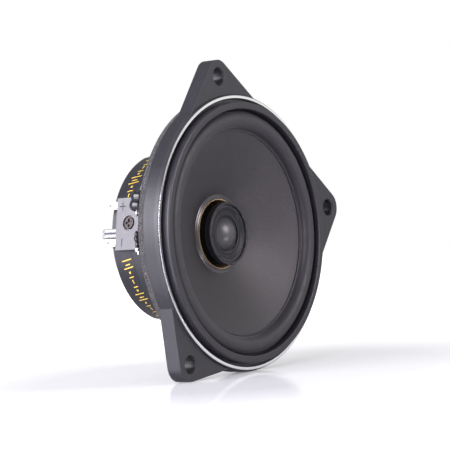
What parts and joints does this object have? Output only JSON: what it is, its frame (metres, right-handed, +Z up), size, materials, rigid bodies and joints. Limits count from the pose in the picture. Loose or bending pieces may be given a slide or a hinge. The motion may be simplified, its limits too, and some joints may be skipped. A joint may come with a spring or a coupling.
{
  "type": "coaxial car speaker",
  "caption": "Coaxial car speaker with a cone, a small dome tweeter on its centre post, a black basket with screw ears, a bright ring and a shallow ring-magnet motor.",
  "frame": {"origin": "on the speaker's axis, in the plane of the ears' rear faces, where the basket meets the door", "axes": "+Y along the axis towards the magnet, so the cone faces -Y; +Z up, with one ear near the top"},
  "size_m": [0.1145, 0.0437, 0.1144],
  "materials": {
    "basket_black": "fine-textured satin black paint",
    "trim_bright": "bright turned edge",
    "clamp_black": "fine-textured black",
    "foam": "open-cell black foam",
    "surround_rubber": "satin butyl rubber",
    "spider_cloth": "woven cloth stiffened with resin",
    "zinc_steel": "zinc-plated steel",
    "magnet_plated": "nickel-plated ring magnet",
    "neodymium": "nickel-plated",
    "label_black": "black film with plain gold marks",
    "screw_steel": "nickel-plated",
    "block_grey": "grey moulded plastic",
    "spade_tin": "tin-plated",
    "capacitor_sleeve": "black shrink sleeve",
    "tinned_copper": "tinned",
    "wire_sleeve": "silver-grey insulation",
    "tweeter_black": "satin black",
    "dome_silk": "coated silk",
    "cone_plastic": "fine-grained polypropylene",
    "former_film": "amber polyimide film",
    "coil_copper": "enamelled copper wire",
    "glue_black": "cured glossy adhesive"
  },
  "bodies": {
    "chassis": {"basket": "basket_black", "trim_ring": "trim_bright", "surround_clamp_ring": "clamp_black", "rear_foam_gasket": "foam", "surround": "surround_rubber", "spider": "spider_cloth", "top_plate": "zinc_steel", "magnet": "magnet_plated", "t_yoke": "zinc_steel", "magnet_label": "label_black", "motor_screws": "screw_steel", "terminal_block": "block_grey", "terminal_screw": "screw_steel", "positive_terminal": "spade_tin", "negative_terminal": "spade_tin", "crossover_capacitor": "capacitor_sleeve", "capacitor_leads": "tinned_copper", "positive_tinsel_lead": "tinned_copper", "negative_tinsel_lead": "tinned_copper", "tweeter_wires": "wire_sleeve", "tweeter_post": "tweeter_black", "tweeter_post_nut": "zinc_steel", "tweeter_housing": "tweeter_black", "tweeter_face_ring": "tweeter_black", "tweeter_yoke": "zinc_steel", "tweeter_magnet": "neodymium", "tweeter_pole_washer": "zinc_steel", "tweeter_suspension": "dome_silk"},
    "cone_assembly": {"cone": "cone_plastic", "voice_coil_former": "former_film", "voice_coil": "coil_copper", "neck_glue_ring": "glue_black"},
    "tweeter_diaphragm": {"tweeter_dome": "dome_silk", "tweeter_coil_former": "former_film", "tweeter_coil": "coil_copper"}
  },
  "joints": [
    {"name": "cone_stroke", "type": "slide", "parent": "chassis", "child": "cone_assembly", "axis": [0, -1, 0], "range_m": [-0.003, 0.003], "stiffness_N_per_m": 1600, "deforming": ["surround", "spider", "positive_tinsel_lead", "negative_tinsel_lead"]},
    {"name": "tweeter_stroke", "type": "slide", "parent": "chassis", "child": "tweeter_diaphragm", "axis": [0, -1, 0], "range_m": [-0.00025, 0.00025], "stiffness_N_per_m": 8000, "deforming": ["tweeter_suspension"]}
  ]
}
